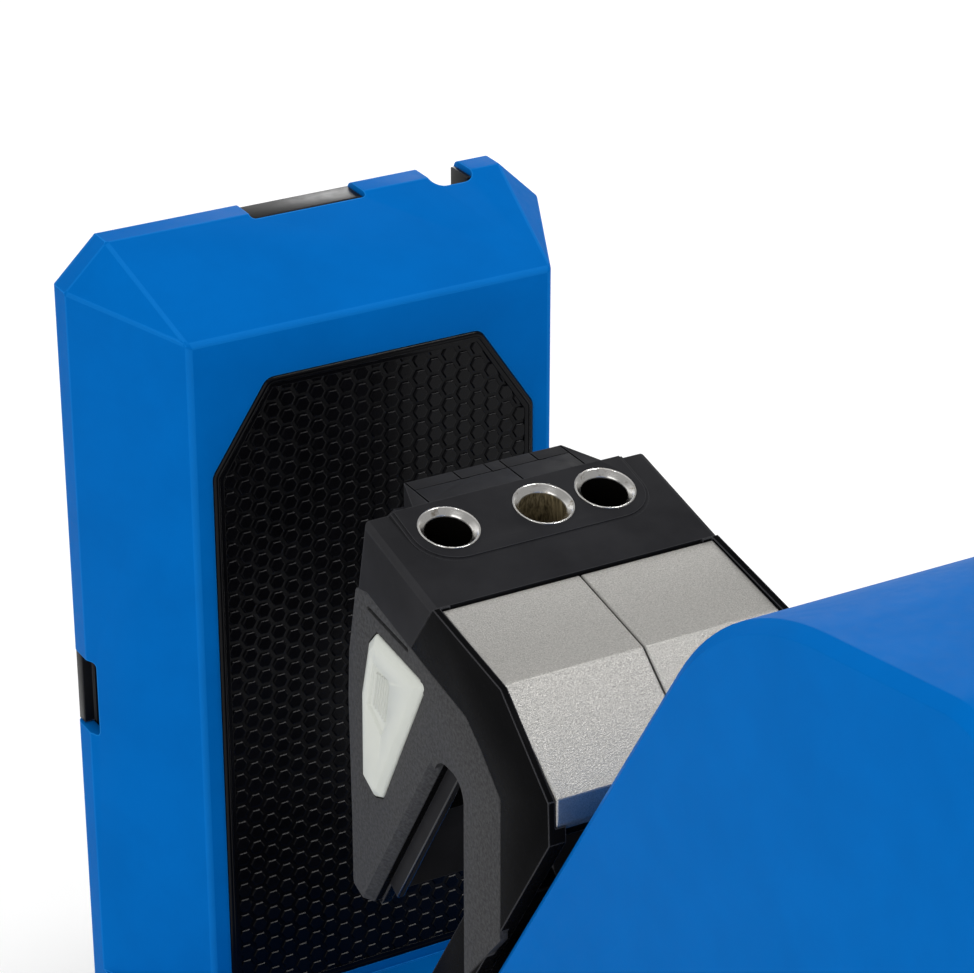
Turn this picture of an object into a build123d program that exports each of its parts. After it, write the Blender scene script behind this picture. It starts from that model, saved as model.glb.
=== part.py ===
"""Self-adjusting pocket hole jig: a guide block on a sloping carriage, a padded back wall and a lever.

Units are millimetres, +Z is up, -Y is towards the user and the jig stands on Z = 0.
Most sections are drawn from the hole line: the middle of the row of drill guides, at their mouths.
"""
from build123d import *
import os
from math import cos, radians, sin

os.makedirs("parts", exist_ok=True)

# Where the hole line lies: the overall length is centred on the origin
HANDLE_TIP_Y = -196.0
WALL_BACK_Y = 102.75
HOLE_Y = -(HANDLE_TIP_Y + WALL_BACK_Y) / 2
HOLE_Z = 184.0

# Drill guides
DRILL_TILT = 15.0
GUIDE_X = (-17.86, 3.57, 17.86)
GUIDE_BORE_R = 4.8
GUIDE_MOUTH_R = 6.0
GUIDE_OUTER_R = 6.3
EXIT_BORE_R = 5.5
GUIDE_LENGTH = 36.0
GUIDE_PROUD = 0.3

# The carriage slides down and back along the track, and the lever swings forward and down
TRACK_ANGLE = 58.0
TRAVEL = 64.0
LEVER_SWING = 60.0
CRANK_R = TRAVEL / (2 * sin(radians(LEVER_SWING / 2)))
PIVOT = (-52.0, -81.0)
TRACK = (cos(radians(TRACK_ANGLE)), -sin(radians(TRACK_ANGLE)))
ACROSS = (sin(radians(TRACK_ANGLE)), cos(radians(TRACK_ANGLE)))

# Back wall, rubber pad and foot
FACE_HALF = 43.05
FACE_Y = 64.7
FACE_TOP = 19.4
RIM_Y = 95.1
RIM_HALF = 57.2
RIM_TOP = 32.55
RIM_TOP_HALF = 47.3
RIM_SIDE_TOP = 22.95
WALL = 3.0
EDGE_R = 1.5
REAR_EDGE_R = 2.4
SLOT_FRONT = 93.4
TOP_SLOT = (-14.2, 13.4)
CORD_SLOT = (29.4, 40.0)
SIDE_SLOT = (-83.0, -64.6)
PAD_HALF = 38.7
PAD_TOP = 8.6
PAD_TOP_HALF = 25.5
PAD_CORNER_R = 3.0
PAD_SIDE_TOP = -11.25
PAD_DEEP = 2.5
PAD_PROUD = 0.5
FLOOR = -146.0
FLOOR_FRONT = 20.0
PAD_FOOT = FLOOR + 1.5
FOOT_TOP = -160.0
FOOT_FRONT = -122.0
FOOT_FRONT_HALF = 44.0
SKIN = 3.5
PLATE_TOP = -178.0
PLATE_BOTTOM = -181.0
FOOT_WIDE = 18.0
WELL_HALF = 29.6
WELL_FRONT = -66.0
WELL_BACK = 26.2
PLATE_SCREWS = [(-34, -106), (34, -106), (-48, 50), (48, 50)]
COVER_SCREWS = [(-36, 8), (36, 8), (-36, -120), (36, -120)]

# Track frame between the carriage's sides
FRAME_IN = 14.0
FRAME_OUT = 20.0
BEAM_BACK = (24.0, -146.0)
GROOVE_DEEP = 2.5
GROOVE_WIDE = 6.2
BAR_WIDE = 6.0
BAR_IN = 17.7

# Carriage
SHELL_IN = 28.5
SHELL_OUT = 32.2
COVER_OUT = 32.25
COVER_IN = 30.45
CAP_HALF = 30.6
BLOCK_HALF = 32.3
BODY_HALF = 25.8
CONTACT_Y = 18.0
NOSE = (-63.9, -34.0)

# Release buttons
BUTTON_OUT = 33.4
BUTTON_GAP = 0.3

# Lever
LEVER_HALF = 32.25
LEVER_SKIN = 4.5
LEVER_WALL = 3.5
LEVER_EDGE = 2.2
BOSS_R = 11.4
BOLT_R = 4.0
DRIVE_PIN_R = 3.0

HOLE = (0, HOLE_Y, HOLE_Z)
SIDE = Plane(origin=HOLE, x_dir=(0, 1, 0), z_dir=(1, 0, 0))
MOUTHS = Plane(
    origin=HOLE,
    x_dir=(1, 0, 0),
    z_dir=(0, -sin(radians(DRILL_TILT)), cos(radians(DRILL_TILT))),
)


def top_plane(z):
    """Horizontal plane at height z over the hole line, drawn in X and Y from it."""
    return Plane(origin=(0, HOLE_Y, HOLE_Z + z), x_dir=(1, 0, 0), z_dir=(0, 0, 1))


def front_plane(y):
    """Upright plane at distance y behind the hole line, drawn in X and Z, facing the user."""
    return Plane(origin=(0, HOLE_Y + y, HOLE_Z), x_dir=(1, 0, 0), z_dir=(0, -1, 0))


def along(point, down=0.0, back=0.0):
    """A point moved down the track and square to it, towards the back wall."""
    return (
        point[0] + down * TRACK[0] + back * ACROSS[0],
        point[1] + down * TRACK[1] + back * ACROSS[1],
    )


def at_height(point, z):
    """Where the line through a point, parallel to the track, reaches a height."""
    return along(point, down=(z - point[1]) / TRACK[1])


def save(piece, name):
    """Label a finished piece and write it."""
    piece.part.label = name
    export_step(piece.part, f"parts/{name}.step")


# Foot and back wall, one hollow moulding
RIM_OUTLINE = [
    (-RIM_HALF, PLATE_BOTTOM),
    (-RIM_HALF, RIM_SIDE_TOP),
    (-RIM_TOP_HALF, RIM_TOP),
    (RIM_TOP_HALF, RIM_TOP),
    (RIM_HALF, RIM_SIDE_TOP),
    (RIM_HALF, PLATE_BOTTOM),
]
FOOT_OUTLINE = [
    (-RIM_HALF, WALL_BACK_Y - 4),
    (-RIM_HALF, FLOOR_FRONT),
    (-FOOT_FRONT_HALF, -20),
    (-FOOT_FRONT_HALF, FOOT_FRONT),
    (FOOT_FRONT_HALF, FOOT_FRONT),
    (FOOT_FRONT_HALF, -20),
    (RIM_HALF, FLOOR_FRONT),
    (RIM_HALF, WALL_BACK_Y - 4),
]
bevel_rise = RIM_TOP - FACE_TOP
bevel_run = RIM_Y - FACE_Y
bevel_side = RIM_HALF - FACE_HALF
face_corner = Vector(FACE_HALF, HOLE_Y + FACE_Y, HOLE_Z + FACE_TOP)
rim_top_corner = Vector(RIM_TOP_HALF, HOLE_Y + RIM_Y, HOLE_Z + RIM_TOP)
rim_side_corner = Vector(RIM_HALF, HOLE_Y + RIM_Y, HOLE_Z + RIM_SIDE_TOP)
corner_normal = (rim_side_corner - face_corner).cross(rim_top_corner - face_corner)

def wall_form(inset):
    """The back wall's block with its sloping faces, every face set in by the same amount."""
    with BuildPart() as form:
        with BuildSketch(front_plane(WALL_BACK_Y)):
            Polygon(*RIM_OUTLINE, align=None)
            if inset:
                offset(amount=-inset, mode=Mode.REPLACE)
        extrude(amount=WALL_BACK_Y - FACE_Y - inset)
        slope = Plane(face_corner, z_dir=(0, -bevel_rise, bevel_run))
        split(bisect_by=slope.offset(-inset), keep=Keep.BOTTOM)
        for side in (1, -1):
            corner = Vector(side * face_corner.X, face_corner.Y, face_corner.Z)
            flank = Plane(corner, z_dir=(side * bevel_run, -bevel_side, 0))
            split(bisect_by=flank.offset(-inset), keep=Keep.BOTTOM)
            chamfer_normal = (side * corner_normal.X, corner_normal.Y, corner_normal.Z)
            split(bisect_by=Plane(corner, z_dir=chamfer_normal).offset(-inset), keep=Keep.BOTTOM)
    return form.part


def upper_edges(shape_edges):
    """Edges of the wall's block that stand clear of its bottom."""
    return shape_edges.filter_by(lambda edge: edge.center().Z > HOLE_Z + PLATE_BOTTOM + 1)


def pad_outline(inset):
    """Corners of the rubber pad, its sides set in by an amount."""
    corner = 0.46 * inset
    return [
        (-PAD_HALF + inset, PAD_FOOT + inset),
        (-PAD_HALF + inset, PAD_SIDE_TOP - corner),
        (-PAD_TOP_HALF + corner, PAD_TOP - inset),
        (PAD_TOP_HALF - corner, PAD_TOP - inset),
        (PAD_HALF - inset, PAD_SIDE_TOP - corner),
        (PAD_HALF - inset, PAD_FOOT + inset),
    ]


wall_inside = wall_form(WALL)
with BuildPart() as base_housing:
    # The wall is a hollow block, its edges rounded
    add(wall_form(0))
    rear_edges = upper_edges(edges()).filter_by(lambda edge: edge.center().Y > HOLE_Y + WALL_BACK_Y - 0.1)
    fillet(rear_edges, radius=REAR_EDGE_R)
    front_edges = upper_edges(edges()).filter_by(lambda edge: edge.center().Y < HOLE_Y + RIM_Y + 0.1)
    fillet(front_edges, radius=EDGE_R)
    add(wall_inside, mode=Mode.SUBTRACT)
    # Foot: a wide rear half under the work and a lower front half
    with BuildSketch(top_plane(PLATE_BOTTOM)):
        Polygon(*FOOT_OUTLINE, align=None)
        fillet(vertices().group_by(Axis.Y)[0], radius=16)
    extrude(amount=FOOT_TOP - PLATE_BOTTOM)
    with BuildSketch(top_plane(FOOT_TOP)):
        with Locations((0, (FLOOR_FRONT + WALL_BACK_Y - 4) / 2)):
            Rectangle(2 * RIM_HALF, WALL_BACK_Y - 4 - FLOOR_FRONT)
    extrude(amount=FLOOR - FOOT_TOP)
    with BuildSketch(top_plane(PLATE_BOTTOM)):
        Polygon(*FOOT_OUTLINE, align=None)
        fillet(vertices().group_by(Axis.Y)[0], radius=16)
        offset(amount=-SKIN, mode=Mode.REPLACE)
    extrude(amount=FOOT_TOP - SKIN - PLATE_BOTTOM, mode=Mode.SUBTRACT)
    with BuildSketch(top_plane(FOOT_TOP - SKIN - 1)):
        with Locations((0, (FLOOR_FRONT + WALL_BACK_Y - 4) / 2)):
            Rectangle(2 * (RIM_HALF - SKIN), WALL_BACK_Y - 4 - FLOOR_FRONT - 2 * SKIN)
    extrude(amount=FLOOR - FOOT_TOP + 1, mode=Mode.SUBTRACT)
    # Well for the carriage and its track, open at the top of the foot
    with BuildSketch(top_plane(FOOT_TOP - SKIN - 2)):
        with Locations((0, (WELL_FRONT + WELL_BACK) / 2)):
            RectangleRounded(2 * WELL_HALF, WELL_BACK - WELL_FRONT, 4)
    extrude(amount=FLOOR - FOOT_TOP + SKIN + 4, mode=Mode.SUBTRACT)
    # Recess for the rubber pad
    with BuildSketch(front_plane(FACE_Y + PAD_DEEP)):
        Polygon(*pad_outline(0), align=None)
        fillet(vertices().group_by(Axis.Y)[-1] + vertices().group_by(Axis.Y)[-2], radius=PAD_CORNER_R)
    extrude(amount=PAD_DEEP + 1, mode=Mode.SUBTRACT)
    # Backing behind the recess, so that the wall keeps its thickness
    with BuildSketch(front_plane(FACE_Y + PAD_DEEP + WALL)):
        with Locations((0, (FLOOR + PAD_TOP) / 2)):
            Rectangle(2 * PAD_HALF + 4, PAD_TOP - FLOOR)
    extrude(amount=WALL)
    # Slots in the rim: a wide one and a cord slot in its top, and one in each side
    slot_run = WALL_BACK_Y + 1 - SLOT_FRONT
    with BuildSketch(top_plane(20)):
        with Locations((sum(TOP_SLOT) / 2, SLOT_FRONT + slot_run / 2)):
            Rectangle(TOP_SLOT[1] - TOP_SLOT[0], slot_run)
        fillet(vertices().group_by(Axis.Y)[0], radius=1.2)
    extrude(amount=14, mode=Mode.SUBTRACT)
    with BuildSketch(top_plane(14)):
        with Locations((sum(CORD_SLOT) / 2, SLOT_FRONT - 0.7 + slot_run / 2)):
            Rectangle(CORD_SLOT[1] - CORD_SLOT[0], slot_run + 1.4)
        fillet(vertices().group_by(Axis.Y)[0], radius=3.2)
    extrude(amount=20, mode=Mode.SUBTRACT)
    for side in (1, -1):
        with BuildSketch(SIDE.offset(side * (RIM_HALF - 7))):
            with Locations((SLOT_FRONT + slot_run / 2 - 0.5, sum(SIDE_SLOT) / 2)):
                Rectangle(slot_run + 1, SIDE_SLOT[1] - SIDE_SLOT[0])
            fillet(vertices().group_by(Axis.X)[0], radius=1.2)
        extrude(amount=side * 8, mode=Mode.SUBTRACT)
    # Screw bosses for the bottom plate and the back cover
    with BuildSketch(top_plane(PLATE_TOP)):
        with Locations(*PLATE_SCREWS):
            RegularPolygon(5, 6)
    extrude(amount=FOOT_TOP - PLATE_TOP - 1)
    with BuildSketch(front_plane(WALL_BACK_Y - 3.7)):
        with Locations(*COVER_SCREWS):
            RegularPolygon(4.5, 6)
    extrude(amount=WALL_BACK_Y - FACE_Y - PAD_DEEP - 4.7)
    # Relief along the foot of the wall, where dust can lie clear of the board
    with BuildSketch(top_plane(FLOOR)):
        with Locations((0, FACE_Y - 0.9)):
            Rectangle(2 * RIM_HALF + 2, 1.8)
    extrude(amount=-1, mode=Mode.SUBTRACT)
    # Ribs under the work floor
    with BuildSketch(top_plane(PLATE_TOP)):
        with Locations((-44, 44), (44, 44)):
            Rectangle(2.5, FACE_Y - FLOOR_FRONT)
    extrude(amount=FLOOR - PLATE_TOP - 1)
save(base_housing, "base_housing")

with BuildPart() as back_cover:
    with BuildSketch(front_plane(WALL_BACK_Y - 1.2)):
        Polygon(*RIM_OUTLINE, align=None)
        offset(amount=-WALL - 0.25, mode=Mode.REPLACE)
    extrude(amount=2.5)
    # Lips that fill the slots in the rim
    with BuildSketch(top_plane(24)):
        with Locations((sum(TOP_SLOT) / 2, WALL_BACK_Y - 4.2)):
            Rectangle(TOP_SLOT[1] - TOP_SLOT[0] - 0.6, 7.2)
    extrude(amount=7.4)
    for side in (1, -1):
        with BuildSketch(SIDE.offset(side * (RIM_HALF - 4.2))):
            with Locations((WALL_BACK_Y - 2.0, sum(SIDE_SLOT) / 2)):
                Rectangle(2.8, SIDE_SLOT[1] - SIDE_SLOT[0] - 0.6)
        extrude(amount=side * 3.6)
    # Opening behind the cord slot, with a lining on one side
    with BuildSketch(top_plane(14)):
        with Locations((sum(CORD_SLOT) / 2, WALL_BACK_Y)):
            Rectangle(CORD_SLOT[1] - CORD_SLOT[0], 12)
    extrude(amount=20, mode=Mode.SUBTRACT)
    with BuildSketch(top_plane(14)):
        with Locations((CORD_SLOT[1] - 1.0, (SLOT_FRONT + WALL_BACK_Y - 1) / 2)):
            Rectangle(1.2, WALL_BACK_Y - SLOT_FRONT - 2)
    extrude(amount=RIM_TOP - 1.2 - 14)
save(back_cover, "back_cover")

with BuildPart() as clamp_pad:
    with BuildSketch(front_plane(FACE_Y + PAD_DEEP)):
        Polygon(*pad_outline(0.1), align=None)
        fillet(vertices().group_by(Axis.Y)[-1] + vertices().group_by(Axis.Y)[-2], radius=PAD_CORNER_R - 0.1)
    extrude(amount=PAD_DEEP + PAD_PROUD)
    chamfer(faces().sort_by(Axis.Y)[0].outer_wire().edges(), length=0.4)
    # Raised border round a field that lies half a millimetre lower
    with BuildSketch(front_plane(FACE_Y - PAD_PROUD)):
        Polygon(*pad_outline(2.4), align=None)
    extrude(amount=-0.5, mode=Mode.SUBTRACT)
save(clamp_pad, "clamp_pad")

with BuildPart() as bottom_plate:
    with BuildSketch(top_plane(PLATE_BOTTOM)):
        Polygon(*FOOT_OUTLINE, align=None)
        fillet(vertices().group_by(Axis.Y)[0], radius=16)
        offset(amount=-SKIN - 0.3, mode=Mode.REPLACE)
    extrude(amount=PLATE_TOP - PLATE_BOTTOM)
save(bottom_plate, "bottom_plate")

with BuildPart() as rubber_feet:
    with BuildSketch(top_plane(-HOLE_Z)):
        with Locations((-29, -84), (29, -84), (-44, 80), (44, 80)):
            Rectangle(FOOT_WIDE, FOOT_WIDE)
        chamfer(vertices(), length=5)
    extrude(amount=PLATE_BOTTOM + HOLE_Z)
save(rubber_feet, "rubber_feet")

# Track frame: two plates that carry the carriage and the lever's pivot
flange_top = PLATE_TOP + 3.5
with BuildPart() as track_frame:
    with BuildSketch(SIDE):
        Polygon(
            (-65, flange_top),
            (-63, -84),
            (-44, -89),
            at_height(NOSE, -94),
            at_height(BEAM_BACK, -82),
            at_height(BEAM_BACK, flange_top),
            align=None,
        )
        with Locations(PIVOT):
            Circle(BOSS_R)
        with Locations((-34, -136)):
            RectangleRounded(24, 44, 6, mode=Mode.SUBTRACT)
    extrude(amount=FRAME_OUT, both=True)
    with BuildSketch(SIDE):
        with Locations((-15, -120)):
            Rectangle(130, 120)
    extrude(amount=FRAME_IN, both=True, mode=Mode.SUBTRACT)
    # Base flange and a cross web between the plates
    with BuildSketch(top_plane(PLATE_TOP)):
        with Locations((0, -12)):
            Rectangle(52, 108)
    extrude(amount=3.5)
    with BuildSketch(front_plane(-12)):
        with Locations((0, -167)):
            Rectangle(2 * FRAME_IN, 20)
    extrude(amount=4)
    # Grooves for the carriage's guide bars
    groove_middle = along(at_height(NOSE, -122), back=7.6)
    for side in (1, -1):
        with BuildSketch(SIDE.offset(side * (FRAME_OUT - GROOVE_DEEP))):
            with Locations(groove_middle):
                SlotOverall(150, GROOVE_WIDE, rotation=180 - TRACK_ANGLE)
        extrude(amount=side * 10, mode=Mode.SUBTRACT)
    with BuildSketch(SIDE):
        with Locations(PIVOT):
            Circle(BOLT_R)
    extrude(amount=40, both=True, mode=Mode.SUBTRACT)
save(track_frame, "track_frame")

# Shoulder bolts of the lever, heads sunk in its sides
with BuildPart() as pivot_bolts:
    for side in (1, -1):
        with BuildSketch(SIDE.offset(side * FRAME_IN)):
            with Locations(PIVOT):
                Circle(BOLT_R)
        extrude(amount=side * (LEVER_HALF - 2.25 - FRAME_IN))
        with BuildSketch(SIDE.offset(side * (LEVER_HALF - 2.25))):
            with Locations(PIVOT):
                Circle(6.5)
        extrude(amount=side * 2.1)
        with BuildSketch(SIDE.offset(side * (LEVER_HALF - 0.15))):
            with Locations(PIVOT):
                RegularPolygon(2.5, 6)
        extrude(amount=-side * 1.5, mode=Mode.SUBTRACT)
save(pivot_bolts, "pivot_bolts")

# Carriage shell: two cheeks, a roof under the metal nose and a bulkhead
NOSE_LINE = [(-20.3, -5.6), (-44.1, -10.1), (-51.2, -15.8), (-63.9, -24.6), (-63.9, -30.0)]
CAP_STEP = (1.2, -2.1)
BLOCK_UNDER = [(-10.6, -17.8), (7.4, -13.9), (12.0, -14.9)]
CHEEK_REAR = [(12.5, -15.7), (15.8, -31.0), (16.5, -42.0), (15.9, -70.0), (15.9, -86.0)]
LEG_END = at_height(NOSE, -80)


def moved(points, steps):
    """A row of points moved by a number of cap thicknesses."""
    return [(y + steps * CAP_STEP[0], z + steps * CAP_STEP[1]) for y, z in points]


def strip(points, start, stop):
    """Closed outline of a layer under the nose line, between two depths."""
    return [*moved(points, start), *reversed(moved(points, stop))]


ARCH_TOP = (-21.9, -36.9)
ARCH = [(-31.6, -82.0), (-31.6, -37.4), ARCH_TOP, at_height(ARCH_TOP, -88)]
cheek_outline = [
    (-19.6, -5.2),
    (-45.7, -9.8),
    (-63.4, -25.0),
    NOSE,
    LEG_END,
    *ARCH,
    *reversed(CHEEK_REAR),
    *reversed(BLOCK_UNDER),
]
cover_outline = [
    BLOCK_UNDER[0],
    (-16.8, -19.2),
    (-32.5, -22.2),
    (-38.1, -26.3),
    (-45.8, -33.5),
    (-45.8, -65.0),
    along(LEG_END, back=1.5),
    *ARCH,
    *reversed(CHEEK_REAR),
    *reversed(BLOCK_UNDER[1:]),
]
BUTTON = [
    (3.6, -21.3),
    (-14.2, -23.2),
    (-15.4, -25.7),
    (2.0, -58.2),
    (5.1, -59.5),
    (10.3, -56.9),
    (10.0, -37.4),
    (6.6, -24.6),
]

with BuildPart() as carriage_shell:
    with BuildSketch(SIDE):
        Polygon(*cheek_outline, align=None)
        fillet(vertices().sort_by_distance((-31.6, -37.4))[0], radius=5)
        fillet(vertices().sort_by_distance(ARCH_TOP)[0], radius=5)
        fillet(vertices().sort_by_distance((15.9, -86.0))[0], radius=1.5)
    extrude(amount=SHELL_OUT, both=True)
    with BuildSketch(SIDE):
        with Locations((-20, -50)):
            Rectangle(120, 120)
    extrude(amount=SHELL_IN, both=True, mode=Mode.SUBTRACT)
    # Roof and bulkhead
    with BuildSketch(SIDE):
        Polygon(*strip(NOSE_LINE, 1, 2.1), align=None)
    extrude(amount=SHELL_IN + 0.5, both=True)
    with BuildSketch(SIDE):
        Polygon(
            (-18.4, -7.2),
            (-10.7, -17.8),
            (1.0, -62.0),
            (-1.9, -62.8),
            (-13.9, -18.6),
            (-22.5, -9.6),
            align=None,
        )
    extrude(amount=BODY_HALF - 0.3, both=True)
    with BuildSketch(SIDE):
        Polygon(*strip(NOSE_LINE, 0, 1), align=None)
    extrude(amount=CAP_HALF + 0.1, both=True, mode=Mode.SUBTRACT)
    # Rib inside each cheek, along the edge of the opening
    for side in (1, -1):
        with BuildSketch(SIDE.offset(side * SHELL_IN)):
            with Locations(along((-14.9, -44.3), down=19)):
                Rectangle(66, 4.7, rotation=180 - TRACK_ANGLE)
        extrude(amount=-side * 2.3)
        # Seat of the side cover, and the button's window through the cheek
        with BuildSketch(SIDE.offset(side * COVER_IN)):
            Polygon(*cover_outline, align=None)
            fillet(vertices().sort_by_distance((-31.6, -37.4))[0], radius=5)
            fillet(vertices().sort_by_distance(ARCH_TOP)[0], radius=5)
        extrude(amount=side * 5, mode=Mode.SUBTRACT)
        with BuildSketch(SIDE.offset(side * (SHELL_IN - 3))):
            Polygon(*BUTTON, align=None)
            offset(amount=BUTTON_GAP, kind=Kind.INTERSECTION, mode=Mode.ADD)
        extrude(amount=side * 8, mode=Mode.SUBTRACT)
save(carriage_shell, "carriage_shell")

for side, cover_name in ((1, "side_cover_right"), (-1, "side_cover_left")):
    with BuildPart() as side_cover:
        with BuildSketch(SIDE.offset(side * COVER_IN)):
            Polygon(*cover_outline, align=None)
            fillet(vertices().sort_by_distance((-31.6, -37.4))[0], radius=5)
            fillet(vertices().sort_by_distance(ARCH_TOP)[0], radius=5)
            fillet(vertices().sort_by_distance((15.9, -86.0))[0], radius=1.5)
            Polygon(*BUTTON, align=None, mode=Mode.SUBTRACT)
        extrude(amount=side * (COVER_OUT - COVER_IN))
        with BuildSketch(SIDE.offset(side * COVER_IN)):
            Polygon(*BUTTON, align=None)
            offset(amount=BUTTON_GAP, kind=Kind.INTERSECTION, mode=Mode.ADD)
        extrude(amount=side * 5, mode=Mode.SUBTRACT)
        # Bevelled rim along the slanting edge of the opening
        rim_start = (0, HOLE_Y + ARCH_TOP[0] + 2, HOLE_Z + ARCH_TOP[1] - 3.2)
        with BuildSketch(Plane(rim_start, x_dir=(1, 0, 0), z_dir=(0, *TRACK))):
            Polygon(
                (side * (COVER_OUT + 0.5), -2.3),
                (side * (COVER_OUT + 0.5), 0.1),
                (side * COVER_IN, 0.05),
                align=None,
            )
        extrude(amount=70, mode=Mode.SUBTRACT)
        # Narrow groove below the guide block
        with BuildSketch(SIDE.offset(side * COVER_OUT)):
            with Locations((-1.0, -18.1)):
                SlotOverall(17.2, 1.0, rotation=5.7)
        extrude(amount=-side * 0.8, mode=Mode.SUBTRACT)
    save(side_cover, cover_name)

for side, cap_name in ((1, "nose_cap_right"), (-1, "nose_cap_left")):
    with BuildPart() as nose_cap:
        with BuildSketch(SIDE.offset(side * 0.12)):
            Polygon(*strip(NOSE_LINE, 0, 1), align=None)
        extrude(amount=side * (CAP_HALF - 0.12))
    save(nose_cap, cap_name)

# Guide block: upper part over the cheeks, lower body between them
BLOCK_UPPER = [(8.4, 1.2), (-19.6, -5.2), *BLOCK_UNDER]
BODY_SECTION = [
    (-BODY_HALF, -85.0),
    (-BODY_HALF, -7.0),
    (-20.5, -3.0),
    (20.5, -3.0),
    (BODY_HALF, -7.0),
    (BODY_HALF, -85.0),
]
TONGUE = [(-18.2, CONTACT_Y), (18.2, CONTACT_Y), (21.6, 8.0), (-21.6, 8.0)]
TONGUE_TOP = 2.2
with BuildPart() as guide_block:
    with BuildSketch(front_plane(CONTACT_Y)):
        Polygon(*BODY_SECTION, align=None)
    extrude(amount=45)
    with BuildSketch(SIDE):
        Polygon(
            (CONTACT_Y, 3.0),
            (CONTACT_Y, -85.0),
            (7.3, -85.0),
            (-10.6, -17.8),
            (7.8, 1.2),
            (7.8, 3.0),
            align=None,
        )
    extrude(amount=40, both=True, mode=Mode.INTERSECT)
    with BuildSketch(SIDE):
        Polygon(*BLOCK_UPPER, align=None)
    extrude(amount=BLOCK_HALF, both=True)
    upper_corners = [
        edges().sort_by_distance((side * BLOCK_HALF, HOLE_Y + y, HOLE_Z + z))[0]
        for side in (1, -1)
        for y, z in ((-5.6, -2.0), (10.2, -6.85))
    ]
    fillet(upper_corners, radius=1.2)
    # Tongue behind the mouths, with its ends cut on a slant
    with BuildSketch(top_plane(-8)):
        Polygon(*TONGUE, align=None)
    extrude(amount=8 + TONGUE_TOP)
    # Raised panel round the guide mouths, stepped along its edge
    for step_in, step_down in ((0, 0.35), (0.7, 0)):
        with BuildSketch(MOUTHS.offset(-3)):
            with Locations((0, (8.3 - 9.4 + step_in) / 2)):
                Rectangle(53.2 - 2 * step_in, 17.7 - step_in)
            fillet(vertices().group_by(Axis.Y)[0], radius=9 - step_in)
        extrude(amount=3 - step_down)
    # Setting marks on the tongue behind the mouths
    with BuildSketch(top_plane(TONGUE_TOP)):
        with Locations(*[(x, 13) for x in GUIDE_X]):
            Rectangle(0.4, 9.8)
        with Locations((-7.14, 16), (0, 16), (10.7, 16)):
            Rectangle(0.4, 4)
        with Locations((-6.3, 14.1), (0.84, 14.1), (11.54, 14.1)):
            Rectangle(1.8, 0.4)
        with Locations((0, 14.2)):
            Rectangle(36, 0.3)
    extrude(amount=-0.3, mode=Mode.SUBTRACT)
    # Bores: wide for the steel guides, then a drill's width down to the contact face
    with BuildSketch(MOUTHS):
        with Locations(*[(x, 0) for x in GUIDE_X]):
            Circle(GUIDE_OUTER_R)
    extrude(amount=-GUIDE_LENGTH, mode=Mode.SUBTRACT)
    with BuildSketch(MOUTHS):
        with Locations(*[(x, 0) for x in GUIDE_X]):
            Circle(EXIT_BORE_R)
    extrude(amount=-110, mode=Mode.SUBTRACT)
save(guide_block, "guide_block")

with BuildPart() as drill_guides:
    with BuildSketch(MOUTHS.offset(-GUIDE_LENGTH)):
        with Locations(*[(x, 0) for x in GUIDE_X]):
            Circle(GUIDE_OUTER_R)
    extrude(amount=GUIDE_LENGTH + GUIDE_PROUD)
    with BuildSketch(MOUTHS.offset(GUIDE_PROUD)):
        with Locations(*[(x, 0) for x in GUIDE_X]):
            Circle(GUIDE_BORE_R)
    extrude(amount=-GUIDE_LENGTH - 1, mode=Mode.SUBTRACT)
    mouth_edges = edges().filter_by(GeomType.CIRCLE).group_by(SortBy.RADIUS)[0]
    chamfer(mouth_edges.sort_by(Axis.Z)[-3:], length=GUIDE_MOUTH_R - GUIDE_BORE_R)
save(drill_guides, "drill_guides")

# Drive arm: a plate from the bulkhead to the lever's pin, with a slot square to the track
PIN = along(PIVOT, down=-TRAVEL / 2, back=-CRANK_R * cos(radians(LEVER_SWING / 2)))
slot_run = CRANK_R * (1 - cos(radians(LEVER_SWING / 2)))
slot_middle = along(PIN, back=-slot_run / 2)
with BuildPart() as drive_arm:
    with BuildSketch(SIDE):
        Polygon(
            (-116, -74),
            (-22, -74),
            (-16.0, -30),
            (-11.1, -29.4),
            (-2.1, -62.8),
            (-6, -88),
            (-118, -88),
            align=None,
        )
        with Locations(slot_middle):
            SlotOverall(slot_run + 14.0, 13.6, rotation=90 - TRACK_ANGLE)
            SlotOverall(slot_run + 7.8, 7.4, rotation=90 - TRACK_ANGLE, mode=Mode.SUBTRACT)
    extrude(amount=6, both=True)
save(drive_arm, "drive_arm")

# Guide bars: each runs in a groove of the track frame and is fixed inside a cheek
bar_top = along(at_height(NOSE, -91), back=7.6)
for side, bar_name in ((1, "guide_bar_right"), (-1, "guide_bar_left")):
    with BuildPart() as guide_bar:
        with BuildSketch(SIDE.offset(side * BAR_IN)):
            with Locations(along(bar_top, down=14.5)):
                Rectangle(31, BAR_WIDE, rotation=180 - TRACK_ANGLE)
        extrude(amount=side * (FRAME_OUT + 0.3 - BAR_IN))
        with BuildSketch(SIDE.offset(side * (FRAME_OUT + 0.3))):
            with Locations(along(bar_top, down=-6)):
                Rectangle(72, 11, rotation=180 - TRACK_ANGLE)
        extrude(amount=side * (SHELL_IN - FRAME_OUT - 0.3))
    save(guide_bar, bar_name)

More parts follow.
